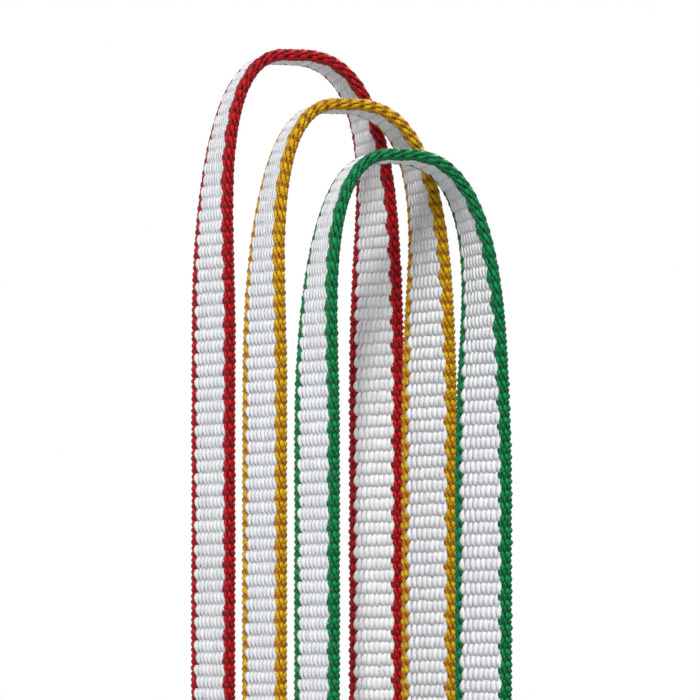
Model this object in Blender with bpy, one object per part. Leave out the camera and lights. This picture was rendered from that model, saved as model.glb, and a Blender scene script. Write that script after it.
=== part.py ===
"""Three sewn slings of flat polyethylene strap, hung one in front of the other.

Each sling is one strap: a white woven band with a coloured cord woven along each
edge. Its two ends overlap low on the left leg and four bar tacks sew them together.
X runs across the loops, Y from the front sling to the back one, Z up. The origin is
where the back sling, the red one, bears on what it hangs from: the middle of the
inner face at the top of its loop.
"""

import math

import bmesh
import bpy
import numpy as np
from mathutils import Matrix, Vector

# Strap, in metres: the white band lies between its two edge cords
STRAP_WIDTH = 0.011
BAND_THICK = 0.0017
EDGE_THICK = 0.0019
EDGE_WIDTH = 0.00145
WEAVE_GAP = 0.0003

# Loop: the length is that of the closed sling pulled flat, along its middle. Each
# bend is a superellipse, level for the length of its seat, where it is pulled on
LOOP_LENGTH = 0.240
BEND_HALF_LEFT = 0.0120
BEND_HALF_RIGHT = 0.0145
BEND_HIGH_LEFT = 0.0378
BEND_HIGH_RIGHT = 0.0321
BEND_SQUARENESS = 2.8
SEAT_HALF = 0.002

# Turn of each leg about its own length, as the strap hangs slack
TURN_LEFT = math.radians(24.4)
TURN_RIGHT = math.radians(38.6)
TURN_RUN_LEFT = 0.050
TURN_RUN_RIGHT = 0.060
TURN_BACK_RUN = 0.024

# Splice: the strap's first end lies inside, its last end outside
OVERLAP = 0.044
LAYER_GAP = 0.0003
JOG_RUN = 0.006
JOG_TO_END = 0.0006
SPLICE_TO_BEND = 0.002

# Bar tacks: a stem of thread through both layers, with a head on each face
TACK_COUNT = 4
TACK_FROM_END = 0.0055
TACK_TO_EDGE = 0.00085
TACK_STEM = 0.0010
TACK_HEAD_WIDTH = 0.0024
TACK_HEAD_HIGH = 0.0005
THREAD_GAP = 0.0003
SLOT_OVERRUN = 0.001

# Set: each sling hangs in front of, beside and below the one behind it
STEP_ACROSS = 0.00602
STEP_DOWN = 0.00875
NEIGHBOUR_GAP = 0.0003

# How finely the strap is divided
SAMPLES_PER_BEND = 400
SAMPLES_PER_LOOP = 2400
STATION_ANGLE = math.radians(7)
STATION_LIMIT = 0.016
EDGE_SEGMENTS = 6
HEAD_SEGMENTS = 6
SHARP_ANGLE = math.radians(35)

WHITE = (0.86, 0.87, 0.88, 1.0)
SLING_COLOURS = {
    "red": (0.45, 0.012, 0.014, 1.0),
    "yellow": (0.87, 0.45, 0.005, 1.0),
    "green": (0.0, 0.22, 0.07, 1.0),
}
FIBRE_ROUGHNESS = 0.55


def clear_scene():
    for obj in list(bpy.data.objects):
        bpy.data.objects.remove(obj, do_unlink=True)


def eased(share):
    """0 before share 0, 1 after share 1, and a smooth S between them."""
    held = np.clip(share, 0.0, 1.0)
    return held * held * (3 - 2 * held)


def quarter_bend(half, high):
    """Points from the top of a bend, at (0, 0), round to where its leg starts."""
    angle = np.linspace(0.0, math.pi / 2, SAMPLES_PER_BEND)
    across = half * np.sin(angle) ** (2 / BEND_SQUARENESS)
    down = high * (1 - np.clip(np.cos(angle), 0.0, 1.0) ** (2 / BEND_SQUARENESS))
    level = np.interp(SEAT_HALF, across, down)
    return np.stack([across, np.maximum(down - level, 0.0)], axis=1)


def run_lengths(points):
    steps = np.linalg.norm(np.diff(points, axis=0), axis=1)
    return np.concatenate([[0.0], np.cumsum(steps)])


class Loop:
    """The middle line of a closed sling, measured from its top down the left leg."""

    def __init__(self):
        left = quarter_bend(BEND_HALF_LEFT, BEND_HIGH_LEFT)
        right = quarter_bend(BEND_HALF_RIGHT, BEND_HIGH_RIGHT)
        self.bend_left = run_lengths(left)[-1]
        self.bend_right = run_lengths(right)[-1]
        self.round = 2 * LOOP_LENGTH
        bends = 2 * (self.bend_left + self.bend_right)
        saved = 2 * (left[-1][1] + right[-1][1])
        self.high = (self.round - bends + saved) / 2
        self.leg_left = self.high - 2 * left[-1][1]
        self.to_bottom = 2 * self.bend_left + self.leg_left

        top_left = left * (-1, -1)
        foot_left = (left * (-1, 1) - (0.0, self.high))[::-1]
        foot_right = right * (1, 1) - (0.0, self.high)
        top_right = (right * (1, -1))[::-1]
        points = np.concatenate([top_left, foot_left, foot_right[1:], top_right])
        points[:, 1] += BAND_THICK / 2
        self.points = points
        self.lengths = run_lengths(points)

        # The splice is set from the foot of the left leg upwards
        self.splice_low = self.bend_left + self.leg_left - SPLICE_TO_BEND - JOG_RUN - JOG_TO_END
        self.splice_top = self.splice_low - OVERLAP
        self.turned_back = self.splice_top - JOG_TO_END - JOG_RUN

    def at(self, along):
        """The middle line's points at lengths along it, past its start or end too."""
        wrapped = np.mod(along, self.round)
        x = np.interp(wrapped, self.lengths, self.points[:, 0])
        z = np.interp(wrapped, self.lengths, self.points[:, 1])
        return np.stack([x, z], axis=1)

    def on_seat(self, along):
        """Whether the strap is level at each length: at the top and at the bottom."""
        from_top = np.mod(along + self.round / 2, self.round) - self.round / 2
        from_bottom = np.mod(along, self.round) - self.to_bottom
        return np.minimum(abs(from_top), abs(from_bottom)) < SEAT_HALF

    def turn(self, along):
        """How far the strap is turned about its length, towards the loop's outside."""
        down_left = np.mod(along, self.round)
        down_right = self.round - down_left
        from_foot = down_left - self.to_bottom
        left = eased(down_left / TURN_RUN_LEFT)
        left *= 1 - eased((down_left - self.turned_back) / TURN_BACK_RUN + 1)
        right = eased(down_right / TURN_RUN_RIGHT) * eased(from_foot / TURN_RUN_RIGHT)
        return TURN_LEFT * left - TURN_RIGHT * right


def strap_shift(loop, along):
    """How far the strap stands outside the loop's middle line, so that its ends pass."""
    apart = (EDGE_THICK + LAYER_GAP) / 2
    inner_ends = loop.splice_low + JOG_TO_END
    outer_starts = loop.round + loop.splice_top - JOG_TO_END
    inner = 1 - eased((along - inner_ends) / JOG_RUN)
    outer = eased((along - outer_starts) / JOG_RUN + 1)
    return apart * (outer - inner)


def frame_matrix(point, tangent, turn):
    """A frame whose X runs back across the strap, Y along it and Z out of its face."""
    out = Vector((tangent[1], 0.0, -tangent[0]))
    back = Vector((0.0, 1.0, 0.0))
    across = back * math.cos(turn) + out * math.sin(turn)
    face = out * math.cos(turn) - back * math.sin(turn)
    forward = face.cross(across)
    rows = Matrix((across, forward, face)).transposed().to_4x4()
    rows.translation = (point[0], 0.0, point[1])
    return rows


def strap_frames(loop):
    """The strap's frames from its inner end, all round the loop, to its outer end."""
    first = loop.splice_top
    last = loop.round + loop.splice_low
    along = np.linspace(first, last, SAMPLES_PER_LOOP)
    middle = loop.at(along)
    heading = np.gradient(middle, axis=0)
    heading /= np.linalg.norm(heading, axis=1)[:, None]
    outward = np.stack([heading[:, 1], -heading[:, 0]], axis=1)
    middle += outward * strap_shift(loop, along)[:, None]
    heading = np.gradient(middle, axis=0)
    heading /= np.linalg.norm(heading, axis=1)[:, None]
    turns = loop.turn(along)
    angles = np.unwrap(np.arctan2(heading[:, 1], heading[:, 0]))
    kept = station_indices(along, angles, turns, loop.on_seat(along))
    return [frame_matrix(middle[i], heading[i], turns[i]) for i in kept]


def station_indices(along, angles, turns, seated):
    """The samples to keep: one for each small bend or turn, one for each long run,
    and one at each end of a seat, which stays a single flat face."""
    kept = [0]
    bent = 0.0
    for i in range(1, len(along) - 1):
        bent += abs(angles[i] - angles[i - 1]) + abs(turns[i] - turns[i - 1])
        due = bent >= STATION_ANGLE or along[i] - along[kept[-1]] >= STATION_LIMIT
        seat_end = seated[i] and not (seated[i - 1] and seated[i + 1])
        if seat_end or (due and not seated[i]):
            kept.append(i)
            bent = 0.0
    kept.append(len(along) - 1)
    return kept


def fibre(name, colour):
    material = bpy.data.materials.new(name)
    material.use_nodes = True
    shader = material.node_tree.nodes["Principled BSDF"]
    shader.inputs["Base Color"].default_value = colour
    shader.inputs["Roughness"].default_value = FIBRE_ROUGHNESS
    shader.inputs["Metallic"].default_value = 0.0
    return material


def add_solid(name, bm, colour, parent):
    mesh = bpy.data.meshes.new(name)
    bmesh.ops.recalc_face_normals(bm, faces=bm.faces[:])
    bm.to_mesh(mesh)
    bm.free()
    mesh.shade_smooth()
    mesh.set_sharp_from_angle(angle=SHARP_ANGLE)
    obj = bpy.data.objects.new(name, mesh)
    obj.data.materials.append(fibre(name, colour))
    bpy.context.scene.collection.objects.link(obj)
    obj.parent = parent
    return obj


def swept(profile, frames):
    """Extrudes a closed profile from one frame to the next, with a cap at each end."""
    bm = bmesh.new()
    corners = [bm.verts.new(frames[0] @ Vector((across, 0.0, out))) for across, out in profile]
    ring = [bm.edges.new((a, b)) for a, b in zip(corners, corners[1:] + corners[:1])]
    bmesh.ops.contextual_create(bm, geom=ring)
    for before, after in zip(frames, frames[1:]):
        made = bmesh.ops.extrude_edge_only(bm, edges=ring)["geom"]
        moved = [item for item in made if isinstance(item, bmesh.types.BMVert)]
        bmesh.ops.transform(bm, matrix=after @ before.inverted(), verts=moved)
        ring = [item for item in made if isinstance(item, bmesh.types.BMEdge)]
    bmesh.ops.contextual_create(bm, geom=ring)
    return bm


def band_profile():
    half_width = STRAP_WIDTH / 2 - EDGE_WIDTH - WEAVE_GAP
    half_thick = BAND_THICK / 2
    return [
        (-half_width, -half_thick),
        (half_width, -half_thick),
        (half_width, half_thick),
        (-half_width, half_thick),
    ]


def edge_profile(side):
    """Half of an oval, flat towards the band; side is -1 at the front, 1 at the back."""
    flat = STRAP_WIDTH / 2 - EDGE_WIDTH
    points = []
    for step in range(EDGE_SEGMENTS + 1):
        angle = math.pi * step / EDGE_SEGMENTS
        across = flat + EDGE_WIDTH * math.sin(angle)
        points.append((side * across, EDGE_THICK / 2 * math.cos(angle)))
    return points


def tack_length():
    return STRAP_WIDTH - 2 * (EDGE_WIDTH + WEAVE_GAP + TACK_TO_EDGE)


def tack_profile():
    """A stem with a domed head on each face, as (along the strap, out of its face)."""
    stem = TACK_STEM / 2
    head = TACK_HEAD_WIDTH / 2
    seat = BAND_THICK / 2 + (EDGE_THICK + LAYER_GAP) / 2 + THREAD_GAP
    dome = []
    for step in range(HEAD_SEGMENTS + 1):
        angle = math.pi * step / HEAD_SEGMENTS
        dome.append((head * math.cos(angle), seat + TACK_HEAD_HIGH * math.sin(angle)))
    upper = [(stem, seat), *dome, (-stem, seat)]
    lower = [(-along, -out) for along, out in upper]
    return upper + lower


def add_tack(name, colour, parent, frame):
    bm = bmesh.new()
    half = tack_length() / 2
    corners = [bm.verts.new(Vector((-half, along, out))) for along, out in tack_profile()]
    side = bm.faces.new(corners)
    made = bmesh.ops.extrude_face_region(bm, geom=[side])["geom"]
    moved = [item for item in made if isinstance(item, bmesh.types.BMVert)]
    bmesh.ops.translate(bm, vec=(tack_length(), 0.0, 0.0), verts=moved)
    tack = add_solid(name, bm, colour, parent)
    tack.matrix_local = frame
    return tack


def add_slot(band, name, frame):
    """Cuts the slot that a tack's stem runs through, in both layers at once."""
    bm = bmesh.new()
    bmesh.ops.create_cube(bm, size=1.0)
    through = EDGE_THICK + LAYER_GAP + BAND_THICK + 2 * SLOT_OVERRUN
    size = (tack_length() + 2 * THREAD_GAP, TACK_STEM + 2 * THREAD_GAP, through)
    bmesh.ops.scale(bm, vec=size, verts=bm.verts[:])
    cutter = add_solid(name, bm, WHITE, band.parent)
    cutter.matrix_local = frame
    cutter.hide_render = True
    cutter.display_type = "WIRE"
    cut = band.modifiers.new(name, "BOOLEAN")
    cut.operation = "DIFFERENCE"
    cut.solver = "EXACT"
    cut.object = cutter


def tack_frames(loop):
    """Frames along the overlap, the first and last tacks the same way in from its ends."""
    spread = OVERLAP - 2 * TACK_FROM_END
    frames = []
    for index in range(TACK_COUNT):
        along = loop.splice_top + TACK_FROM_END + spread * index / (TACK_COUNT - 1)
        point = loop.at(np.array([along]))[0]
        frames.append(frame_matrix(point, (0.0, -1.0), 0.0))
    return frames


def add_sling(colour_name, place):
    """One sling: its band, its two edge cords and its bar tacks, under one empty."""
    colour = SLING_COLOURS[colour_name]
    carrier = bpy.data.objects.new(f"{colour_name}_sling", None)
    bpy.context.scene.collection.objects.link(carrier)
    carrier.location = place
    loop = Loop()
    frames = strap_frames(loop)
    band = add_solid(f"{colour_name}_webbing", swept(band_profile(), frames), WHITE, carrier)
    for side, where in ((-1, "front"), (1, "back")):
        edge = swept(edge_profile(side), frames)
        add_solid(f"{colour_name}_{where}_edge", edge, colour, carrier)
    for number, frame in enumerate(tack_frames(loop), start=1):
        add_slot(band, f"{colour_name}_slot_{number}", frame)
        add_tack(f"{colour_name}_bar_tack_{number}", colour, carrier, frame)


def main():
    clear_scene()
    # A turned strap reaches as far in depth as its section's diagonal
    step_forward = math.hypot(STRAP_WIDTH, EDGE_THICK) + NEIGHBOUR_GAP
    for index, colour_name in enumerate(SLING_COLOURS):
        place = Vector((STEP_ACROSS, -step_forward, -STEP_DOWN)) * index
        add_sling(colour_name, place)


main()
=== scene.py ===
"""Looks of three hanging slings of white polyethylene strap with coloured edges.

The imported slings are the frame. Each strap is rebuilt round them as it is woven: a
ribbed ground, a short float of yarn over each rib on both faces, coloured yarns round
each edge, and the stitches of the bar tacks. Lengths are in metres. X runs across the
loops, Y from the front sling to the back one, Z up.
"""

import logging
import math
from dataclasses import dataclass, field
from enum import Enum

import bmesh
import bpy
import numpy as np
from bmesh.types import BMEdge, BMesh, BMVert
from bpy.types import Material, Mesh, Node, NodeSocket, NodeTree, Object
from mathutils import Matrix, Vector


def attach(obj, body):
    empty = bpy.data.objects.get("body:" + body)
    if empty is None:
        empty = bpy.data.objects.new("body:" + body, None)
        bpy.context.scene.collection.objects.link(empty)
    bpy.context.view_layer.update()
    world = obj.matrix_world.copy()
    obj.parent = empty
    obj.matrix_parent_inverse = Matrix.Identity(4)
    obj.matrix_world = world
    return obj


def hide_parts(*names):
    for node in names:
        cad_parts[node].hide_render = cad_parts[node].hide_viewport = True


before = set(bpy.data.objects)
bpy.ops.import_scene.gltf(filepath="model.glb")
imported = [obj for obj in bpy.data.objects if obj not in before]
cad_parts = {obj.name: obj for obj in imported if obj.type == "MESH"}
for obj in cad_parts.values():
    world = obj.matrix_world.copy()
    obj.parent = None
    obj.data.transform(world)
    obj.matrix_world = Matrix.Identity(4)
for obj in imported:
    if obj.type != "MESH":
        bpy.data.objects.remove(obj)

LOG = logging.getLogger("slings")
MM = 0.001
# How near points are to become one, in a row and where a loop of thread closes
MERGE = 0.001 * MM
LOOP_MERGE = 0.01 * MM
IMAGE_SIDE = 700
YARN_UV = "yarn"
# The attribute that holds each yarn's random tone together with its painted shade
YARN_TONE_AND_SHADE = "yarn_tone_and_shade"
# The tone of a shape that isn't made of single yarns
EVEN_TONE = 0.5
# A wave texture repeats after this much of its own unit
WAVE_REPEAT = 2 * math.pi / 20
# Turns a circle drawn in X and Y to stand square to the strap's length
UPRIGHT = Matrix.Rotation(math.pi / 2, 4, "X")


class Colourway(Enum):
    """The colours that the edges come in, from the back sling to the front one."""

    RED = "red"
    YELLOW = "yellow"
    GREEN = "green"


class Span(Enum):
    """A part of the strap's girth, as how many quarters of it lie before its middle."""

    OUTER_FACE = 0
    BACK_EDGE = 1
    INNER_FACE = 2
    FRONT_EDGE = -1

    @property
    def is_edge(self) -> bool:
        """Whether the span is one of the two coloured edges."""
        return self in (Span.BACK_EDGE, Span.FRONT_EDGE)


def linear_colour(code: str) -> tuple[float, float, float, float]:
    """Turns an sRGB hex value into the linear colour that a shader takes.

    Args:
        code: six hex digits after a hash sign.

    Returns:
        Red, green, blue and an alpha of 1.
    """
    shares = [int(code[i : i + 2], 16) / 255 for i in (1, 3, 5)]
    # The sRGB curve: a straight start, then a power
    linear = [s / 12.92 if s <= 0.04045 else ((s + 0.055) / 1.055) ** 2.4 for s in shares]
    return (*linear, 1.0)


def eased(share: np.ndarray) -> np.ndarray:
    """Gives 0 before share 0, 1 after share 1, and a smooth S between them."""
    held = np.clip(share, 0.0, 1.0)
    return held * held * (3 - 2 * held)


def unit(rows: np.ndarray) -> np.ndarray:
    """Gives each row a length of 1."""
    return rows / np.linalg.norm(rows, axis=1)[:, None]


@dataclass(frozen=True)
class Strap:
    """The strap's own sizes, and how far in front of a sling the next one hangs."""

    width: float = 11.0 * MM
    thick: float = 1.9 * MM
    neighbour_gap: float = 0.3 * MM
    # How far to the right of a sling the next one hangs, and how far below it
    step_across: float = 6.02 * MM
    step_down: float = 8.75 * MM

    def place(self, index: int) -> Vector:
        """Gives the place of the sling that hangs so many in front of the back one."""
        forward = math.hypot(self.width, self.thick) + self.neighbour_gap
        return Vector((self.step_across, -forward, -self.step_down)) * index


@dataclass
class Route:
    """The line that a strap follows, from its inner end, round the loop, to its outer end."""

    loop_length: float = 0.240
    bend_half_left: float = 0.0120
    bend_half_right: float = 0.0145
    bend_high_left: float = 0.0378
    bend_high_right: float = 0.0321
    # The power of the curve that a bend follows, which is 2 for an ellipse
    bend_squareness: float = 2.8
    # How far from a bend's middle the strap is fully bent, and the run in which it straightens
    bent_half: float = 0.018
    unbend_run: float = 0.026
    # Half of the level stretch in the middle of a bend
    seat_half: float = 0.002
    turn_left: float = math.radians(24.4)
    turn_right: float = math.radians(38.6)
    # The run in which the strap turns on each leg, and turns back before the splice
    turn_run_left: float = 0.050
    turn_run_right: float = 0.060
    turn_back_run: float = 0.024
    band_thick: float = 0.0017
    layer_apart: float = 0.0022
    overlap: float = 0.044
    jog_run: float = 0.006
    jog_to_end: float = 0.0006
    splice_to_bend: float = 0.002
    samples_per_bend: int = 400
    samples: int = 5000
    path_points: int = 160
    # How far the strap's line is kept past both of its ends
    spare: float = 0.003

    def __post_init__(self) -> None:
        """Works out the loop's middle line, where its splice lies, and the strap's own line."""
        left = self.quarter_bend(self.bend_half_left, self.bend_high_left)
        right = self.quarter_bend(self.bend_half_right, self.bend_high_right)
        bend_left = self.run_lengths(left)[-1]
        bend_right = self.run_lengths(right)[-1]
        self.round = 2 * self.loop_length
        # Each leg is as long as the loop is high, less the heights of its two bends
        bend_heights = 2 * (left[-1][1] + right[-1][1])
        high = (self.round - 2 * (bend_left + bend_right) + bend_heights) / 2
        leg_left = high - 2 * left[-1][1]
        self.to_bottom = 2 * bend_left + leg_left

        top_left = left * (-1, -1)
        foot_left = (left * (-1, 1) - (0.0, high))[::-1]
        foot_right = right * (1, 1) - (0.0, high)
        top_right = (right * (1, -1))[::-1]
        self.points = np.concatenate([top_left, foot_left, foot_right[1:], top_right])
        self.points[:, 1] += self.band_thick / 2
        self.lengths = self.run_lengths(self.points)

        self.splice_low = bend_left + leg_left - self.splice_to_bend - self.jog_run - self.jog_to_end
        self.splice_top = self.splice_low - self.overlap
        self.turned_back = self.splice_top - self.jog_to_end - self.jog_run
        self.strap_length = self.round + self.overlap
        self.sample_strap()

    def quarter_bend(self, half: float, high: float) -> np.ndarray:
        """Draws a bend from its top, at (0, 0), to where its leg starts.

        Args:
            half: how far the leg is to one side of the top.
            high: how far the top is above the start of the leg.

        Returns:
            Rows of (across, down).
        """
        angle = np.linspace(0.0, math.pi / 2, self.samples_per_bend)
        power = 2 / self.bend_squareness
        across = half * np.sin(angle) ** power
        down = high * (1 - np.clip(np.cos(angle), 0.0, 1.0) ** power)
        level = np.interp(self.seat_half, across, down)
        return np.stack([across, np.maximum(down - level, 0.0)], axis=1)

    @staticmethod
    def run_lengths(points: np.ndarray) -> np.ndarray:
        """Gives the length along a line of points at each of them."""
        steps = np.linalg.norm(np.diff(points, axis=0), axis=1)
        return np.concatenate([[0.0], np.cumsum(steps)])

    def at(self, along: np.ndarray) -> np.ndarray:
        """Gives places on the loop's middle line.

        Args:
            along: lengths from the loop's top, down the left leg first.

        Returns:
            Rows of (x, z).
        """
        wrapped = np.mod(along, self.round)
        x = np.interp(wrapped, self.lengths, self.points[:, 0])
        z = np.interp(wrapped, self.lengths, self.points[:, 1])
        return np.stack([x, z], axis=1)

    def turn(self, along: np.ndarray) -> np.ndarray:
        """Gives how far the strap is turned about its own length.

        Args:
            along: lengths from the loop's top, down the left leg first.

        Returns:
            The angles there.
        """
        down_left = np.mod(along, self.round)
        down_right = self.round - down_left
        from_foot = down_left - self.to_bottom
        left = eased(down_left / self.turn_run_left)
        left *= 1 - eased((down_left - self.turned_back) / self.turn_back_run + 1)
        right = eased(down_right / self.turn_run_right) * eased(from_foot / self.turn_run_right)
        return self.turn_left * left - self.turn_right * right

    def shift(self, along: np.ndarray) -> np.ndarray:
        """Gives how far the strap stands outside the middle line, so that its ends pass.

        Args:
            along: lengths from the loop's top to places on the strap.

        Returns:
            The steps outwards there, negative where it stands inside.
        """
        inner_ends = self.splice_low + self.jog_to_end
        outer_starts = self.round + self.splice_top - self.jog_to_end
        inner = 1 - eased((along - inner_ends) / self.jog_run)
        outer = eased((along - outer_starts) / self.jog_run + 1)
        return self.layer_apart / 2 * (outer - inner)

    def bent(self, along: np.ndarray) -> np.ndarray:
        """Gives how fully the strap bends at places along it.

        Args:
            along: lengths from the strap's inner end.

        Returns:
            1 in the middle of a bend and 0 on a straight leg.
        """
        from_top = np.mod(along + self.splice_top, self.round)
        to_top = np.minimum(from_top, self.round - from_top)
        to_foot = np.abs(from_top - self.to_bottom)
        return 1 - eased((np.minimum(to_top, to_foot) - self.bent_half) / self.unbend_run)

    def sample_strap(self) -> None:
        """Keeps the strap's own line, its heading and its turn, a little past both ends."""
        self.along = np.linspace(-self.spare, self.strap_length + self.spare, self.samples)
        from_top = self.along + self.splice_top
        middle = self.at(from_top)
        heading = unit(np.gradient(middle, axis=0))
        outward = np.stack([heading[:, 1], -heading[:, 0]], axis=1)
        self.middle = middle + outward * self.shift(from_top)[:, None]
        self.heading = unit(np.gradient(self.middle, axis=0))
        self.turns = self.turn(from_top)

    def lay(self, flat: np.ndarray) -> np.ndarray:
        """Lays points of the flat strap along the hung one.

        Args:
            flat: rows of (across to the back, along, out of the outer face).

        Returns:
            Rows of (x, y, z), from the top of the sling's own loop.
        """
        across, along, out = flat.T
        middle_x, middle_z = (np.interp(along, self.along, part) for part in self.middle.T)
        heading_x, heading_z = (np.interp(along, self.along, part) for part in self.heading.T)
        turns = np.interp(along, self.along, self.turns)
        outward = across * np.sin(turns) + out * np.cos(turns)
        back = across * np.cos(turns) - out * np.sin(turns)
        x = middle_x + heading_z * outward
        z = middle_z - heading_x * outward
        return np.stack([x, back, z], axis=1)

    def centreline(self) -> np.ndarray:
        """Gives points along the strap's middle, from end to end."""
        along = np.linspace(0.0, self.strap_length, self.path_points)
        return self.lay(np.stack([0 * along, along, 0 * along], axis=1))


def new_mesh(bm: BMesh, name: str) -> Mesh:
    """Ends a bmesh as a mesh whose faces point outwards.

    Args:
        bm: the shape, which is freed.
        name: the mesh's name.

    Returns:
        The mesh.
    """
    bmesh.ops.recalc_face_normals(bm, faces=bm.faces[:])
    mesh = bpy.data.meshes.new(name)
    bm.to_mesh(mesh)
    bm.free()
    return mesh


def coordinates(mesh: Mesh) -> np.ndarray:
    """Reads a mesh's points.

    Args:
        mesh: the mesh.

    Returns:
        Rows of three.
    """
    flat = np.empty(len(mesh.vertices) * 3)
    mesh.vertices.foreach_get("co", flat)
    return flat.reshape(-1, 3)


def move_points(mesh: Mesh, points: np.ndarray) -> None:
    """Puts a mesh's points at new places."""
    mesh.vertices.foreach_set("co", points.ravel())
    mesh.update()


def store_uv(mesh: Mesh, pairs: np.ndarray) -> None:
    """Gives a mesh a UV map in millimetres.

    Args:
        mesh: the mesh.
        pairs: a pair of lengths for each of its points.
    """
    layer = mesh.uv_layers.new(name=YARN_UV)
    corners = np.empty(len(mesh.loops), dtype=np.int32)
    mesh.loops.foreach_get("vertex_index", corners)
    layer.uv.foreach_set("vector", (pairs[corners] / MM).ravel())


def store_tone_and_shade(mesh: Mesh, tones: np.ndarray) -> None:
    """Gives each point of a mesh the tone of the yarn that it is on, with any painted shade, from 0 to
    1.
    """
    attribute = mesh.attributes.new(YARN_TONE_AND_SHADE, "FLOAT", "POINT")
    attribute.data.foreach_set("value", tones.astype(np.float32))


def repeated(mesh: Mesh, count: int, step: Vector, joined: bool) -> Mesh:
    """Repeats a mesh in a row.

    Args:
        mesh: the shape to repeat, which is removed.
        count: how many there are in the row.
        step: the way from one to the next.
        joined: whether the points that meet become one.

    Returns:
        One mesh that holds the whole row, in order.
    """
    carrier = bpy.data.objects.new(mesh.name, mesh)
    bpy.context.scene.collection.objects.link(carrier)
    row = carrier.modifiers.new("row", "ARRAY")
    row.count = count
    row.use_relative_offset = False
    row.use_constant_offset = True
    row.constant_offset_displace = step
    row.use_merge_vertices = joined
    row.merge_threshold = MERGE
    evaluated = carrier.evaluated_get(bpy.context.evaluated_depsgraph_get())
    whole = bpy.data.meshes.new_from_object(evaluated)
    bpy.data.objects.remove(carrier)
    bpy.data.meshes.remove(mesh)
    return whole


def points_in(made: list) -> list[BMVert]:
    """Picks the points out of what a bmesh operator made."""
    return [item for item in made if isinstance(item, BMVert)]


def extruded_ring(bm: BMesh, ring: list[BMEdge], move: Matrix) -> list[BMEdge]:
    """Extrudes a ring of edges.

    Args:
        bm: the mesh that the ring is in.
        ring: the ring's edges.
        move: what takes the old ring to the new one.

    Returns:
        The new ring's edges.
    """
    made = bmesh.ops.extrude_edge_only(bm, edges=ring)["geom"]
    bmesh.ops.transform(bm, matrix=move, verts=points_in(made))
    return [item for item in made if isinstance(item, BMEdge)]


def swept(bm: BMesh, frames: list[Matrix]) -> None:
    """Sweeps a bmesh's one ring of edges.

    Args:
        bm: the mesh that the ring is in.
        frames: the places and sizes that the ring goes through, from the one it is drawn at.
    """
    ring = bm.edges[:]
    for before, after in zip(frames, frames[1:]):
        ring = extruded_ring(bm, ring, after @ before.inverted())


def cap_holes(bm: BMesh) -> None:
    """Closes the open ends of a swept shape."""
    open_edges = [edge for edge in bm.edges if edge.is_boundary]
    bmesh.ops.holes_fill(bm, edges=open_edges, sides=0)


@dataclass(frozen=True)
class YarnFloat:
    """One float: a yarn that rises from the ground, swells over a rib, and dips again."""

    half_length: float
    half_width: float
    half_high: float
    low: float
    rise: float
    tip_share: float
    swell_power: float
    # How far behind its middle the float is widest, as a share of its half length
    wide_behind: float = 0.0
    sides: int = 6
    rings: int = 7

    def size_at(self, share: float) -> float:
        """Gives how wide the float is at a place along it.

        Args:
            share: the place, from -1 to 1, as a share of the half length.

        Returns:
            The width there, as a share of the greatest.
        """
        past_widest = share + self.wide_behind
        run = 1 + math.copysign(self.wide_behind, past_widest)
        swell = math.cos(past_widest / run * math.pi / 2) ** self.swell_power
        return self.tip_share + (1 - self.tip_share) * swell

    def shape(self) -> BMesh:
        """Makes the float, flat, about its own middle.

        Returns:
            The closed shape.
        """
        frames = []
        for share in np.linspace(-1.0, 1.0, self.rings):
            size = self.size_at(share)
            high = self.low + self.rise * math.cos(share * math.pi / 2)
            place = Matrix.Translation((0.0, share * self.half_length, high))
            spread = Matrix.Diagonal((self.half_width * size, 1.0, self.half_high * size, 1.0))
            frames.append(place @ spread)
        bm = bmesh.new()
        bmesh.ops.create_circle(bm, segments=self.sides, radius=1.0, matrix=frames[0] @ UPRIGHT)
        swept(bm, frames)
        cap_holes(bm)
        return bm


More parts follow.
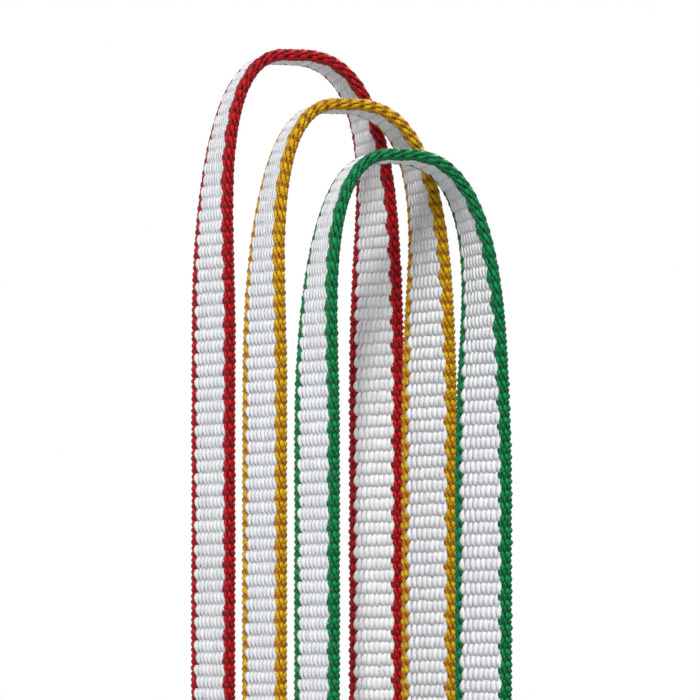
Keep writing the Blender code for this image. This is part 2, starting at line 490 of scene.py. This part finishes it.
@dataclass(frozen=True)
class Weave:
    """How the strap is woven: white yarns float over every other rib, in brick order, and
    coloured ones go round the edges in steps half as long."""

    ribs: int = 276
    # Half the width of a flat face, where the white ground ends and an edge's own has its middle
    flat_half: float = 4.05 * MM
    edge_arc: float = 3.81 * MM
    edge_squash: float = 1.46
    face_pitch: float = 1.03 * MM
    edge_pitch: float = 1.08 * MM
    # The rows of floats in each pair of ribs: how many ribs along, and how many floats wide
    face_rows: tuple[tuple[float, int], ...] = ((0.5, 8), (1.5, 7))
    edge_rows: tuple[tuple[float, int], ...] = ((0.25, 4), (0.75, 3), (1.25, 4), (1.75, 5))
    face_float: YarnFloat = YarnFloat(
        half_length=1.50 * MM,
        half_width=0.62 * MM,
        half_high=0.24 * MM,
        low=0.10 * MM,
        rise=0.68 * MM,
        tip_share=0.05,
        swell_power=1.2,
        wide_behind=0.40,
    )
    edge_float: YarnFloat = YarnFloat(
        half_length=0.76 * MM,
        half_width=0.53 * MM,
        half_high=0.32 * MM,
        low=0.56 * MM,
        rise=0.23 * MM,
        tip_share=0.22,
        swell_power=0.8,
        rings=5,
    )
    # How much lower than the edge's middle a coloured column next to the white ones lies
    edge_drop: float = 0.22 * MM
    # Where the strap bends, yarns are drawn towards a level; its front edge stays the fuller one
    face_level: float = 0.82 * MM
    back_edge_level: float = 0.80 * MM
    front_edge_level: float = 1.04 * MM
    press_share: float = 0.6
    # How far the floats of even and of odd rows lean
    outer_leans: tuple[float, float] = (-0.18, -0.06)
    inner_leans: tuple[float, float] = (-0.06, 0.06)
    edge_leans: tuple[float, float] = (-0.15, -0.15)
    # How much single floats differ from each other
    lean_spread: float = 0.05
    size_spread: float = 0.06
    side_spread: float = 0.03 * MM
    least_tone: float = 0.6
    # Every other row of an edge's yarns is darkened as painted shade, as if sunk deeper into the cord;
    # this is the share of its tone that it keeps
    sunk_row_shade: float = 0.1
    # Painted shade: a float's colour darkens towards its ends, where it dips; this gives where it
    # stays brightest and how far the painted light reaches, in shares of its half length. On the
    # inner face it lies towards the forward end, which is up on the right legs, as painted light from
    # above
    outer_painted_shade: tuple[float, float] = (0.0, 0.62)
    inner_painted_shade: tuple[float, float] = (0.20, 0.84)
    ground_low: float = 0.48 * MM
    ground_rise: float = 0.10 * MM
    edge_ground_reach: float = 1.15 * MM
    edge_ground_low: float = 0.50 * MM
    edge_ground_rise: float = 0.06 * MM
    edge_ground_sides: int = 8
    steps_per_rib: int = 6
    # What the back sling's random draws start from, and how much further on the next one's do
    seed: int = 7
    seed_step: int = 100

    def rib(self, route: Route) -> float:
        """The way from one rib to the next along the strap."""
        return route.strap_length / self.ribs

    def floats(self, route: Route, span: Span, leans: tuple[float, float], seed: int) -> Mesh:
        """Makes the floats of one span of the girth, flat, two ribs at a time.

        Args:
            route: the strap's route, for its length.
            span: which part of the girth they cover.
            leans: how far the floats of even and of odd rows lean.
            seed: what the small differences between floats start from.

        Returns:
            The mesh in (round the girth, along, out).
        """
        if span.is_edge:
            yarn, pitch, rows = self.edge_float, self.edge_pitch, self.edge_rows
            drop, odd_row_shade = self.edge_drop, self.sunk_row_shade
        else:
            yarn, pitch, rows = self.face_float, self.face_pitch, self.face_rows
            drop, odd_row_shade = 0.0, 1.0
        bm = yarn.shape()
        points_each = len(bm.verts)
        source = bm.verts[:] + bm.edges[:] + bm.faces[:]
        rib = self.rib(route)
        middle = span.value * (self.flat_half + self.edge_arc / 2)
        widest = max(count for _, count in rows) - 1
        for ribs_along, count in rows:
            for column in range(count):
                made = bmesh.ops.duplicate(bm, geom=source)["geom"]
                aside = column - (count - 1) / 2
                place = (middle + aside * pitch, ribs_along * rib, -drop * (2 * aside / widest) ** 2)
                bmesh.ops.translate(bm, verts=points_in(made), vec=place)
        bmesh.ops.delete(bm, geom=source, context="VERTS")
        pair = new_mesh(bm, span.name.lower())
        mesh = repeated(pair, self.ribs // 2, Vector((0.0, 2 * rib, 0.0)), False)
        painted_shade = self.inner_painted_shade if span is Span.INNER_FACE else self.outer_painted_shade
        self.vary(mesh, points_each, leans, odd_row_shade, painted_shade, seed)
        return mesh

    def vary(
        self,
        mesh: Mesh,
        points_each: int,
        leans: tuple[float, float],
        odd_row_shade: float,
        painted_shade: tuple[float, float],
        seed: int,
    ) -> None:
        """Leans and sizes each float a little differently, and stores its UV map and its tone, with
        painted shade that darkens each float towards its ends.

        Args:
            mesh: the flat floats, in order along the strap, changed in place.
            points_each: how many points each float has.
            leans: the lean that even and odd rows have.
            odd_row_shade: the tone of the odd rows, darkened as painted shade, as a share of the even
                rows' tone.
            painted_shade: where a float's painted shade leaves it brightest, and how far the painted
                light reaches from there.
            seed: what the small differences start from.
        """
        random = np.random.default_rng(seed)
        points = coordinates(mesh).reshape(-1, points_each, 3)
        count = len(points)
        centre = points.mean(axis=1, keepdims=True)
        local = points - centre
        pairs = local[:, :, :2].reshape(-1, 2)
        order = np.unique(np.round(centre[:, 0, 1] / MM, 3), return_inverse=True)[1]
        lean = np.where(order % 2 == 0, leans[0], leans[1])[:, None]
        lean = lean + random.normal(0.0, self.lean_spread, (count, 1))
        local *= random.normal(1.0, self.size_spread, (count, 1, 3))
        local[:, :, 0] += lean * local[:, :, 1]
        local[:, :, 0] += random.normal(0.0, self.side_spread, (count, 1))
        move_points(mesh, (centre + local).reshape(-1, 3))
        store_uv(mesh, pairs)
        # Painted shade on every other row of an edge
        row_shade = np.where(order % 2 == 0, 1.0, odd_row_shade)
        tones = np.repeat(row_shade * random.uniform(self.least_tone, 1.0, count), points_each)
        # Painted shade: each float's tone falls away from its brightest place towards its ends
        brightest, reach = painted_shade
        half_length = np.abs(pairs[:, 1]).max()
        dip_shade = np.clip(((pairs[:, 1] / half_length - brightest) / reach) ** 2, 0.0, 1.0)
        store_tone_and_shade(mesh, tones * (1 - dip_shade))

    def bent_level(self, span: Span) -> float:
        """Gives the height that a span's yarns are drawn towards where the strap bends."""
        edge_level = self.front_edge_level if span is Span.FRONT_EDGE else self.back_edge_level
        return edge_level if span.is_edge else self.face_level

    def pressed(self, points: np.ndarray, route: Route, level: float) -> np.ndarray:
        """Draws yarns flatter where the strap bends.

        Args:
            points: flat rows of (round the girth, along, out).
            route: the strap's route, for its bends.
            level: the height that they are drawn towards.

        Returns:
            The rows, with less relief in the bends.
        """
        girth, along, out = points.T
        towards = np.sign(out) * level
        kept = 1 - self.press_share * route.bent(along)
        return np.stack([girth, along, towards + (out - towards) * kept], axis=1)

    def wrapped(self, points: np.ndarray) -> np.ndarray:
        """Wraps flat rows of (round the girth, along, out) round the strap's section.

        Args:
            points: the flat rows, out being measured from the strap's middle.

        Returns:
            Rows of (across, along, out of the outer face).
        """
        girth, along, out = points.T
        reach = np.abs(girth)
        angle = math.pi * np.clip((reach - self.flat_half) / self.edge_arc, 0.0, 1.0)
        past = np.maximum(reach - self.flat_half - self.edge_arc, 0.0)
        across = np.minimum(reach, self.flat_half) + self.edge_squash * out * np.sin(angle) - past
        return np.stack([np.sign(girth) * across, along, out * np.cos(angle)], axis=1)

    def ribbed(self, bm: BMesh, route: Route, low: float, rise: float) -> Mesh:
        """Sweeps a ring, drawn for a height of 1, along the strap, thicker at each rib.

        Args:
            bm: a mesh that holds the ring, which is freed.
            route: the strap's route, for its length.
            low: half the thickness between two ribs.
            rise: how much more it is on a rib.

        Returns:
            The closed mesh, flat.
        """
        rib = self.rib(route)
        frames = []
        for step in range(self.steps_per_rib + 1):
            share = step / self.steps_per_rib
            half = low + rise * math.sin(math.pi * share) ** 2
            place = Matrix.Translation((0.0, share * rib, 0.0))
            frames.append(place @ Matrix.Diagonal((1.0, 1.0, half, 1.0)))
        bmesh.ops.transform(bm, matrix=frames[0], verts=bm.verts[:])
        swept(bm, frames)
        mesh = repeated(new_mesh(bm, "ground"), self.ribs, Vector((0.0, rib, 0.0)), True)
        whole = bmesh.new()
        whole.from_mesh(mesh)
        bpy.data.meshes.remove(mesh)
        cap_holes(whole)
        return new_mesh(whole, "ground")

    def ground(self, route: Route) -> Mesh:
        """Makes the white ground under the floats of both faces, flat.

        Args:
            route: the strap's route, for its length.

        Returns:
            The mesh in (across, along, out).
        """
        bm = bmesh.new()
        # A circle of four points, turned until its sides are level, is a square 2 wide
        square = UPRIGHT @ Matrix.Rotation(math.pi / 4, 4, "Z")
        bmesh.ops.create_circle(bm, segments=4, radius=math.sqrt(2), matrix=square)
        bmesh.ops.scale(bm, vec=(self.flat_half, 1.0, 1.0), verts=bm.verts[:])
        return self.ribbed(bm, route, self.ground_low, self.ground_rise)

    def edge_ground(self, route: Route, side: int) -> Mesh:
        """Makes the coloured ground under an edge's floats, flat.

        Args:
            route: the strap's route, for its length.
            side: 1 at the back edge, -1 at the front one.

        Returns:
            The mesh in (across, along, out).
        """
        bm = bmesh.new()
        bmesh.ops.create_circle(bm, segments=self.edge_ground_sides, radius=1.0, matrix=UPRIGHT)
        bmesh.ops.scale(bm, vec=(self.edge_ground_reach, 1.0, 1.0), verts=bm.verts[:])
        bmesh.ops.translate(bm, vec=(side * self.flat_half, 0.0, 0.0), verts=bm.verts[:])
        return self.ribbed(bm, route, self.edge_ground_low, self.edge_ground_rise)


def new_material(name: str, roughness: float) -> Material:
    """Makes a material with nodes.

    Args:
        name: the material's name.
        roughness: from 0 for a mirror to 1 for chalk.

    Returns:
        The material.
    """
    material = bpy.data.materials.new(name)
    material.use_nodes = True
    material.node_tree.nodes["Principled BSDF"].inputs["Roughness"].default_value = roughness
    return material


def add_node(tree: NodeTree, kind: str, settings: dict, links: dict) -> Node:
    """Adds a node to a material's tree.

    Args:
        tree: the tree.
        kind: the node's type name, after ShaderNode.
        settings: properties by name, and unlinked inputs by name or number.
        links: the output that goes into each linked input, by name or number.

    Returns:
        The node.
    """
    node = tree.nodes.new("ShaderNode" + kind)
    for key, value in settings.items():
        if isinstance(key, str) and hasattr(node, key):
            setattr(node, key, value)
        else:
            node.inputs[key].default_value = value
    for key, output in links.items():
        tree.links.new(output, node.inputs[key])
    return node


def add_math(tree: NodeTree, operation: str, *terms: float | NodeSocket) -> NodeSocket:
    """Adds a calculation to a material's tree.

    Args:
        tree: the tree.
        operation: what is done with the terms, by the Math node's own name for it.
        terms: numbers, or outputs of other nodes.

    Returns:
        The output that holds the result.
    """
    numbers = {index: term for index, term in enumerate(terms) if isinstance(term, float)}
    outputs = {index: term for index, term in enumerate(terms) if index not in numbers}
    return add_node(tree, "Math", {"operation": operation, **numbers}, outputs).outputs[0]


def add_colour(tree: NodeTree, deep: str, light: str, share: NodeSocket) -> None:
    """Colours a surface, from deep where the share is 0 to light where it is 1."""
    ends = {"Color1": linear_colour(deep), "Color2": linear_colour(light)}
    colour = add_node(tree, "MixRGB", ends, {"Fac": share})
    tree.links.new(colour.outputs[0], tree.nodes["Principled BSDF"].inputs["Base Color"])


def add_bump(tree: NodeTree, height: NodeSocket, strength: float, depth: float) -> None:
    """Gives a surface fine relief, up to so many metres deep."""
    bump = add_node(tree, "Bump", {"Strength": strength, "Distance": depth}, {"Height": height})
    tree.links.new(bump.outputs[0], tree.nodes["Principled BSDF"].inputs["Normal"])


@dataclass(frozen=True)
class YarnFinish:
    """Multifilament polyethylene yarn: painted highlight along its twist, painted shade in its grooves.
    """

    name: str
    light: str
    deep: str
    roughness: float = 0.48
    specular: float = 0.2
    twist_angle: float = math.radians(62)
    ply_mm: float = 0.9
    ply_wobble: float = 0.6
    # The ply wave's share of the colour: painted highlight along each ply, painted shade in the grooves
    ply_painted_light_share: float = 0.45
    # Real filaments are some 0.02 mm thick: drawn coarser, so that they show
    filament_mm: float = 0.12
    filament_wobble: float = 2.0
    filament_detail: float = 1.0
    filament_share: float = 0.15
    tone_and_shade_share: float = 0.2
    bump_mm: float = 0.12
    bump_strength: float = 0.7

    def material(self) -> Material:
        """Makes the yarn's material, with its ply pattern on the yarn's own UV map, painted as
        highlight along each ply and as shade in its grooves.

        Returns:
            The material.
        """
        material = new_material(self.name, self.roughness)
        tree = material.node_tree
        tree.nodes["Principled BSDF"].inputs["Specular IOR Level"].default_value = self.specular
        uv = add_node(tree, "UVMap", {"uv_map": YARN_UV}, {})
        twist = {"Rotation": (0.0, 0.0, self.twist_angle)}
        turned = {"Vector": add_node(tree, "Mapping", twist, {"Vector": uv.outputs["UV"]}).outputs[0]}
        plies = {"Scale": WAVE_REPEAT / self.ply_mm, "Distortion": self.ply_wobble}
        ply = add_node(tree, "TexWave", plies, turned)
        filaments = {
            "Scale": WAVE_REPEAT / self.filament_mm,
            "Distortion": self.filament_wobble,
            "Detail": self.filament_detail,
        }
        filament = add_node(tree, "TexWave", filaments, turned)
        # Each yarn's random tone, darkened where the painted shade falls
        tone = add_node(tree, "Attribute", {"attribute_name": YARN_TONE_AND_SHADE}, {})
        base = 1 - self.ply_painted_light_share - self.filament_share - self.tone_and_shade_share
        # Painted highlight along each ply and painted shade in the grooves
        grooves = add_math(tree, "MULTIPLY_ADD", ply.outputs["Fac"], self.ply_painted_light_share, base)
        fine = add_math(tree, "MULTIPLY_ADD", filament.outputs["Fac"], self.filament_share, grooves)
        bright = add_math(tree, "MULTIPLY_ADD", tone.outputs["Fac"], self.tone_and_shade_share, fine)
        add_colour(tree, self.deep, self.light, bright)
        add_bump(tree, fine, self.bump_strength, self.bump_mm * MM)
        return material


@dataclass(frozen=True)
class MeltedFinish:
    """Polyethylene melted by a hot knife: smooth, a little glassy, unevenly cloudy."""

    name: str = "melted_polyethylene"
    light: str = "#D9DBDE"
    deep: str = "#A9ABB0"
    roughness: float = 0.28
    lump_mm: float = 0.8
    lump_detail: float = 3.0
    bump_mm: float = 0.08
    bump_strength: float = 0.6

    def material(self) -> Material:
        """Makes the material, with its cloudy lumps on Object coordinates.

        Returns:
            The material.
        """
        material = new_material(self.name, self.roughness)
        tree = material.node_tree
        place = add_node(tree, "TexCoord", {}, {})
        size = {"Scale": 1 / (self.lump_mm * MM), "Detail": self.lump_detail}
        lumps = add_node(tree, "TexNoise", size, {"Vector": place.outputs["Object"]})
        add_colour(tree, self.deep, self.light, lumps.outputs[0])
        add_bump(tree, lumps.outputs[0], self.bump_strength, self.bump_mm * MM)
        return material


@dataclass(frozen=True)
class BarTack:
    """A dense zigzag of sewing thread through both layers, made of closed stitches."""

    stitches: int = 14
    width: float = 5.6 * MM
    half_length: float = 1.15 * MM
    half_high: float = 2.2 * MM
    corner: float = 0.35 * MM
    thread: float = 0.2 * MM
    thread_sides: int = 6
    corner_steps: int = 3
    # How far a stitch slants, to one side and the other by turns
    zigzag: float = 0.16
    from_end: float = 0.0055
    count: int = 4
    tone: float = 0.6

    def one_stitch(self) -> BMesh:
        """Makes one stitch: a closed loop of thread round both layers.

        Returns:
            The loop, about its own middle.
        """
        bm = bmesh.new()
        start = Vector((0.0, -self.half_length + self.corner, self.half_high))
        place = Matrix.Translation(start) @ UPRIGHT
        bmesh.ops.create_circle(bm, segments=self.thread_sides, radius=self.thread, matrix=place)
        ring = bm.edges[:]
        runs = (
            (Vector((0.0, 1.0, 0.0)), self.half_length),
            (Vector((0.0, 0.0, -1.0)), self.half_high),
            (Vector((0.0, -1.0, 0.0)), self.half_length),
            (Vector((0.0, 0.0, 1.0)), self.half_high),
        )
        reached = start
        for index, (way, half) in enumerate(runs):
            run = Matrix.Translation(way * 2 * (half - self.corner))
            ring = extruded_ring(bm, ring, run)
            reached = run @ reached
            centre = reached + runs[(index + 1) % len(runs)][0] * self.corner
            for _ in range(self.corner_steps):
                swing = Matrix.Rotation(-math.pi / 2 / self.corner_steps, 4, "X")
                about = Matrix.Translation(centre) @ swing @ Matrix.Translation(-centre)
                ring = extruded_ring(bm, ring, about)
                reached = about @ reached
        bmesh.ops.remove_doubles(bm, verts=bm.verts[:], dist=LOOP_MERGE)
        return bm

    def mesh(self, frame_at: Matrix) -> Mesh:
        """Makes a whole tack in place.

        Args:
            frame_at: its middle, with X across the strap, Y along it and Z out of it.

        Returns:
            The mesh.
        """
        bm = self.one_stitch()
        source = bm.verts[:] + bm.edges[:] + bm.faces[:]
        for index in range(self.stitches):
            across = self.width * (index / (self.stitches - 1) - 0.5)
            slant = Matrix.Rotation(self.zigzag * (-1) ** index, 4, "Z")
            made = bmesh.ops.duplicate(bm, geom=source)["geom"]
            place = frame_at @ Matrix.Translation((across, 0.0, 0.0)) @ slant
            bmesh.ops.transform(bm, matrix=place, verts=points_in(made))
        bmesh.ops.delete(bm, geom=source, context="VERTS")
        return new_mesh(bm, "tack")


@dataclass(frozen=True)
class SealedEnd:
    """The hard lip at a strap's end, where a hot knife cut it and melted its yarns."""

    half_width: float = 5.2 * MM
    half_high: float = 0.85 * MM
    length: float = 0.9 * MM
    round_off: float = 0.3 * MM
    round_steps: int = 2

    def mesh(self, middle: float) -> Mesh:
        """Makes the lip, flat.

        Args:
            middle: where its middle is along the strap.

        Returns:
            The mesh in (across, along, out).
        """
        bm = bmesh.new()
        size = (2 * self.half_width, self.length, 2 * self.half_high)
        bmesh.ops.create_cube(bm, size=1.0)
        bmesh.ops.scale(bm, vec=size, verts=bm.verts[:])
        rounding = {"offset": self.round_off, "segments": self.round_steps, "profile": 0.5}
        bmesh.ops.bevel(bm, geom=bm.edges[:], affect="EDGES", material=-1, **rounding)
        bmesh.ops.translate(bm, vec=(0.0, middle, 0.0), verts=bm.verts[:])
        return new_mesh(bm, "sealed_end")


@dataclass(frozen=True)
class Dyes:
    """The finishes of one sling's yarns."""

    white: Material
    white_ground: Material
    coloured: Material
    # The edges' weft, coloured darker as painted shade
    shaded_coloured_ground: Material
    melted: Material


@dataclass
class Sling:
    """One sling: its strap, its edges and its tacks, dressed and riding on its body."""

    colourway: Colourway
    place: Vector
    strap: Strap
    route: Route
    weave: Weave
    tack: BarTack
    sealed: SealedEnd
    dyes: Dyes
    seed: int
    pieces: list[Object] = field(default_factory=list)

    def add(self, name: str, mesh: Mesh, material: Material, slot: str) -> Object:
        """Puts a finished mesh, in the sling's own frame, on this sling's body.

        Args:
            name: what the piece is, after the sling's colour.
            mesh: its shape.
            material: its finish.
            slot: not used.

        Returns:
            The piece.
        """
        mesh.transform(Matrix.Translation(self.place))
        mesh.materials.clear()
        mesh.materials.append(material)
        mesh.shade_smooth()
        piece = bpy.data.objects.new(f"{self.colourway.value}_{name}", mesh)
        bpy.context.scene.collection.objects.link(piece)
        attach(piece, f"{self.colourway.value}_sling")
        self.pieces.append(piece)
        mesh.calc_loop_triangles()
        LOG.info("%s: %d triangles", piece.name, len(mesh.loop_triangles))
        return piece

    def replaces(self, node: str) -> None:
        """Hides the imported node that a piece stands for."""
        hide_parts(f"{self.colourway.value}_{node}")

    def laid_floats(self, span: Span, leans: tuple[float, float]) -> Mesh:
        """Makes one span's floats, wrapped round the strap and laid along its route.

        Args:
            span: which part of the girth they cover.
            leans: how far the floats of even and of odd rows lean.

        Returns:
            The mesh in the sling's own frame.
        """
        mesh = self.weave.floats(self.route, span, leans, self.seed + len(self.pieces))
        pressed = self.weave.pressed(coordinates(mesh), self.route, self.weave.bent_level(span))
        move_points(mesh, self.route.lay(self.weave.wrapped(pressed)))
        return mesh

    def laid_flat(self, mesh: Mesh) -> Mesh:
        """Lays a flat shape along the route, with its UV map and tone.

        Args:
            mesh: the shape in (across, along, out), changed in place.

        Returns:
            The same mesh, in the sling's own frame.
        """
        flat = coordinates(mesh)
        store_uv(mesh, flat[:, :2])
        store_tone_and_shade(mesh, np.full(len(flat), EVEN_TONE))
        move_points(mesh, self.route.lay(flat))
        return mesh

    def build_strap(self) -> None:
        """Builds the white strap: its ground, the floats of both faces and its sealed ends."""
        slot = "white_webbing"
        weave = self.weave
        ground = weave.ground(self.route)
        move_points(ground, weave.pressed(coordinates(ground), self.route, weave.face_level))
        core = self.add("strap_ground", self.laid_flat(ground), self.dyes.white_ground, slot)
        self.replaces("webbing")
        faces = ((Span.OUTER_FACE, weave.outer_leans), (Span.INNER_FACE, weave.inner_leans))
        for span, leans in faces:
            self.add(f"{span.name.lower()}_yarns", self.laid_floats(span, leans), self.dyes.white, slot)
        half = self.sealed.length / 2
        for where, middle in (("inner", half), ("outer", self.route.strap_length - half)):
            lip = self.laid_flat(self.sealed.mesh(middle))
            self.add(f"sealed_{where}_end", lip, self.dyes.melted, slot)

    def build_edges(self) -> None:
        """Builds each coloured edge: its floats, and the ground under them, coloured darker as painted
        shade.
        """
        slot = f"{self.colourway.value}_edge"
        for span, side, where in ((Span.FRONT_EDGE, -1, "front"), (Span.BACK_EDGE, 1, "back")):
            laid = self.laid_floats(span, self.weave.edge_leans)
            floats = self.add(f"{where}_edge_yarns", laid, self.dyes.coloured, slot)
            self.replaces(f"{where}_edge")
            under = self.laid_flat(self.weave.edge_ground(self.route, side))
            self.add(f"{where}_edge_ground", under, self.dyes.shaded_coloured_ground, slot)

    def build_tacks(self) -> None:
        """Builds the bar tacks of the splice."""
        slot = f"{self.colourway.value}_thread"
        first = self.route.splice_top + self.tack.from_end
        spread = self.route.overlap - 2 * self.tack.from_end
        for index in range(self.tack.count):
            along = first + spread * index / (self.tack.count - 1)
            x, z = self.route.at(np.array([along]))[0]
            # Down the straight left leg: across is back, along is down, out is to the left
            frame_at = Matrix(((0, 0, -1, x), (1, 0, 0, 0), (0, -1, 0, z), (0, 0, 0, 1)))
            mesh = self.tack.mesh(frame_at)
            store_uv(mesh, coordinates(mesh)[:, 1:])
            store_tone_and_shade(mesh, np.full(len(mesh.vertices), self.tack.tone))
            name = f"bar_tack_{index + 1}"
            piece = self.add(f"stitched_{name}", mesh, self.dyes.coloured, slot)
            self.replaces(name)

    def declare(self) -> None:
        path = self.route.centreline() + np.array(self.place)

    def build(self) -> None:
        """Builds the whole sling."""
        self.build_strap()
        self.build_edges()
        self.build_tacks()
        self.declare()


@dataclass(frozen=True)
class Lamp:
    """One lamp: its name, where it stands from the point looked at, and its power."""

    name: str
    place: tuple[float, float, float]
    watts: float


@dataclass(frozen=True)
class Studio:
    """A pale floor, soft lamps, a white world, and a long lens a little to the left."""

    # The middle of the view, fitted to the photograph together with the yaw and the scale
    look_at: tuple[float, float, float] = (0.007922, -0.01048, -0.046291)
    yaw: float = math.radians(12)
    elevation: float = math.radians(-3.0)
    distance: float = 1.0
    pixels_per_metre: float = 6341.0
    sensor: float = 36.0
    # Just below the foot of the lowest sling
    floor_level: float = -0.246
    floor_half: float = 1.5
    # Matt paper, which spreads the light and doesn't shine
    paper: str = "#CCCCCC"
    paper_roughness: float = 0.9
    # How much of the paper shows as pure white where it is seen directly
    paper_glow: float = 0.6
    white: str = "#FFFFFF"
    ambient: str = "#787C80"
    # Narrow enough to shine between the slings on the ones behind
    strip_width: float = 0.10
    strip_height: float = 0.50
    # High in front, low in front, from the left, and from behind on the right
    lamps: tuple[Lamp, ...] = (
        Lamp("key", (-0.235, -0.78, 0.72), 9.9),
        Lamp("fill", (-0.30, -1.00, -0.10), 1.0),
        Lamp("side", (-0.90, 0.36, 0.30), 1.7),
        Lamp("back", (0.40, 0.85, 0.45), 5.0),
    )

    def camera(self) -> None:
        """Sets the camera where the photograph was taken from."""
        forward = Vector(
            (
                math.sin(self.yaw) * math.cos(self.elevation),
                math.cos(self.yaw) * math.cos(self.elevation),
                -math.sin(self.elevation),
            )
        )
        data = bpy.data.cameras.new("camera")
        data.sensor_width = self.sensor
        data.lens = self.pixels_per_metre * self.distance * self.sensor / IMAGE_SIDE
        camera = bpy.data.objects.new("camera", data)
        camera.location = Vector(self.look_at) - forward * self.distance
        camera.rotation_euler = forward.to_track_quat("-Z", "Y").to_euler()
        bpy.context.scene.collection.objects.link(camera)
        bpy.context.scene.camera = camera

    def add_lamp(self, lamp: Lamp) -> None:
        """Adds an upright strip of soft light that points at the slings.

        Args:
            lamp: its name, place and power.
        """
        data = bpy.data.lights.new(lamp.name, "AREA")
        data.shape = "RECTANGLE"
        data.size = self.strip_width
        data.size_y = self.strip_height
        data.energy = lamp.watts
        strip = bpy.data.objects.new(lamp.name, data)
        strip.location = Vector(self.look_at) + Vector(lamp.place)
        strip.rotation_euler = (-Vector(lamp.place)).to_track_quat("-Z", "Y").to_euler()
        bpy.context.scene.collection.objects.link(strip)

    def seen_directly(self, tree: NodeTree) -> NodeSocket:
        """Tells what is seen directly from what only takes part in the lighting.

        Args:
            tree: the tree of the world or of a material.

        Returns:
            An output that is 1 for what the camera, a reflection or a clear body sees, else 0.
        """
        path = add_node(tree, "LightPath", {}, {})
        seen = add_math(tree, "MAXIMUM", path.outputs["Is Camera Ray"], path.outputs["Is Glossy Ray"])
        return add_math(tree, "MAXIMUM", seen, path.outputs["Is Transmission Ray"])

    def world(self) -> None:
        """Makes a world that is white to look at and a soft grey as a light."""
        world = bpy.data.worlds.new("white_room")
        world.use_nodes = True
        tree = world.node_tree
        tree.nodes.clear()
        soft = add_node(tree, "Background", {"Color": linear_colour(self.ambient), "Strength": 1.0}, {})
        white = add_node(tree, "Background", {"Color": linear_colour(self.white), "Strength": 1.0}, {})
        inputs = {0: self.seen_directly(tree), 1: soft.outputs[0], 2: white.outputs[0]}
        mixed = add_node(tree, "MixShader", {}, inputs)
        add_node(tree, "OutputWorld", {}, {"Surface": mixed.outputs[0]})
        bpy.context.scene.world = world

    def floor(self) -> None:
        """Lays a pale floor that shows nearly white and keeps the slings' shadow."""
        bm = bmesh.new()
        level = Matrix.Translation((0.0, 0.0, self.floor_level))
        bmesh.ops.create_grid(bm, x_segments=1, y_segments=1, size=self.floor_half, matrix=level)
        mesh = bpy.data.meshes.new("floor")
        bm.to_mesh(mesh)
        bm.free()
        material = new_material("matt_white_paper", self.paper_roughness)
        tree = material.node_tree
        shader = tree.nodes["Principled BSDF"]
        shader.inputs["Base Color"].default_value = linear_colour(self.paper)
        glow = add_node(tree, "Emission", {"Color": linear_colour(self.white), "Strength": 1.0}, {})
        share = add_math(tree, "MULTIPLY", self.seen_directly(tree), self.paper_glow)
        inputs = {0: share, 1: shader.outputs[0], 2: glow.outputs[0]}
        mixed = add_node(tree, "MixShader", {}, inputs)
        tree.links.new(mixed.outputs[0], tree.nodes["Material Output"].inputs["Surface"])
        mesh.materials.append(material)
        floor = bpy.data.objects.new("floor", mesh)
        bpy.context.scene.collection.objects.link(floor)

    def build(self) -> None:
        """Sets up the whole studio."""
        bpy.context.scene.view_settings.view_transform = "Standard"
        self.camera()
        self.world()
        self.floor()
        for lamp in self.lamps:
            self.add_lamp(lamp)


def main() -> None:
    """Builds the studio, then each sling from the back one to the front one."""
    logging.basicConfig(level=logging.INFO, format="%(name)s %(message)s")
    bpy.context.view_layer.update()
    Studio().build()
    # Undyed yarn is nearly white, and grey only where it dips out of the light
    white = YarnFinish(
        "white_polyethylene_yarn",
        light="#FCFCFD",
        deep="#B6B9BE",
        ply_painted_light_share=0.15,
        tone_and_shade_share=0.6,
        bump_mm=0.04,
    ).material()
    ground = YarnFinish(
        "white_polyethylene_weft",
        light="#F4F5F7",
        deep="#DADCDF",
        ply_painted_light_share=0.1,
        bump_mm=0.04,
    ).material()
    melted = MeltedFinish().material()
    # Dyed yarn in the light, its painted shade where it dips, and the weft under it in a darker painted
    # shade, which shows as dark pits
    yarns = {
        Colourway.RED: ("#DC1620", "#660008", "#3A0006"),
        Colourway.YELLOW: ("#FFD21A", "#883C00", "#5E2C00"),
        Colourway.GREEN: ("#0EA05C", "#004426", "#002412"),
    }
    strap = Strap()
    route = Route()
    weave = Weave()
    for index, (colourway, (light, deep, under)) in enumerate(yarns.items()):
        name = colourway.value
        coloured = YarnFinish(
            f"{name}_polyethylene_yarn",
            light=light,
            deep=deep,
            ply_painted_light_share=0.3,
            filament_share=0.1,
            tone_and_shade_share=0.6,
        ).material()
        # The edge's weft takes the dye's shade colours, as painted shade in the pits between the floats
        shaded_coloured_ground = YarnFinish(f"{name}_polyethylene_weft", light=deep, deep=under).material()
        sling = Sling(
            colourway=colourway,
            place=strap.place(index),
            strap=strap,
            route=route,
            weave=weave,
            tack=BarTack(),
            sealed=SealedEnd(),
            dyes=Dyes(white, ground, coloured, shaded_coloured_ground, melted),
            seed=weave.seed + weave.seed_step * index,
        )
        sling.build()


if __name__ == "__main__":
    main()
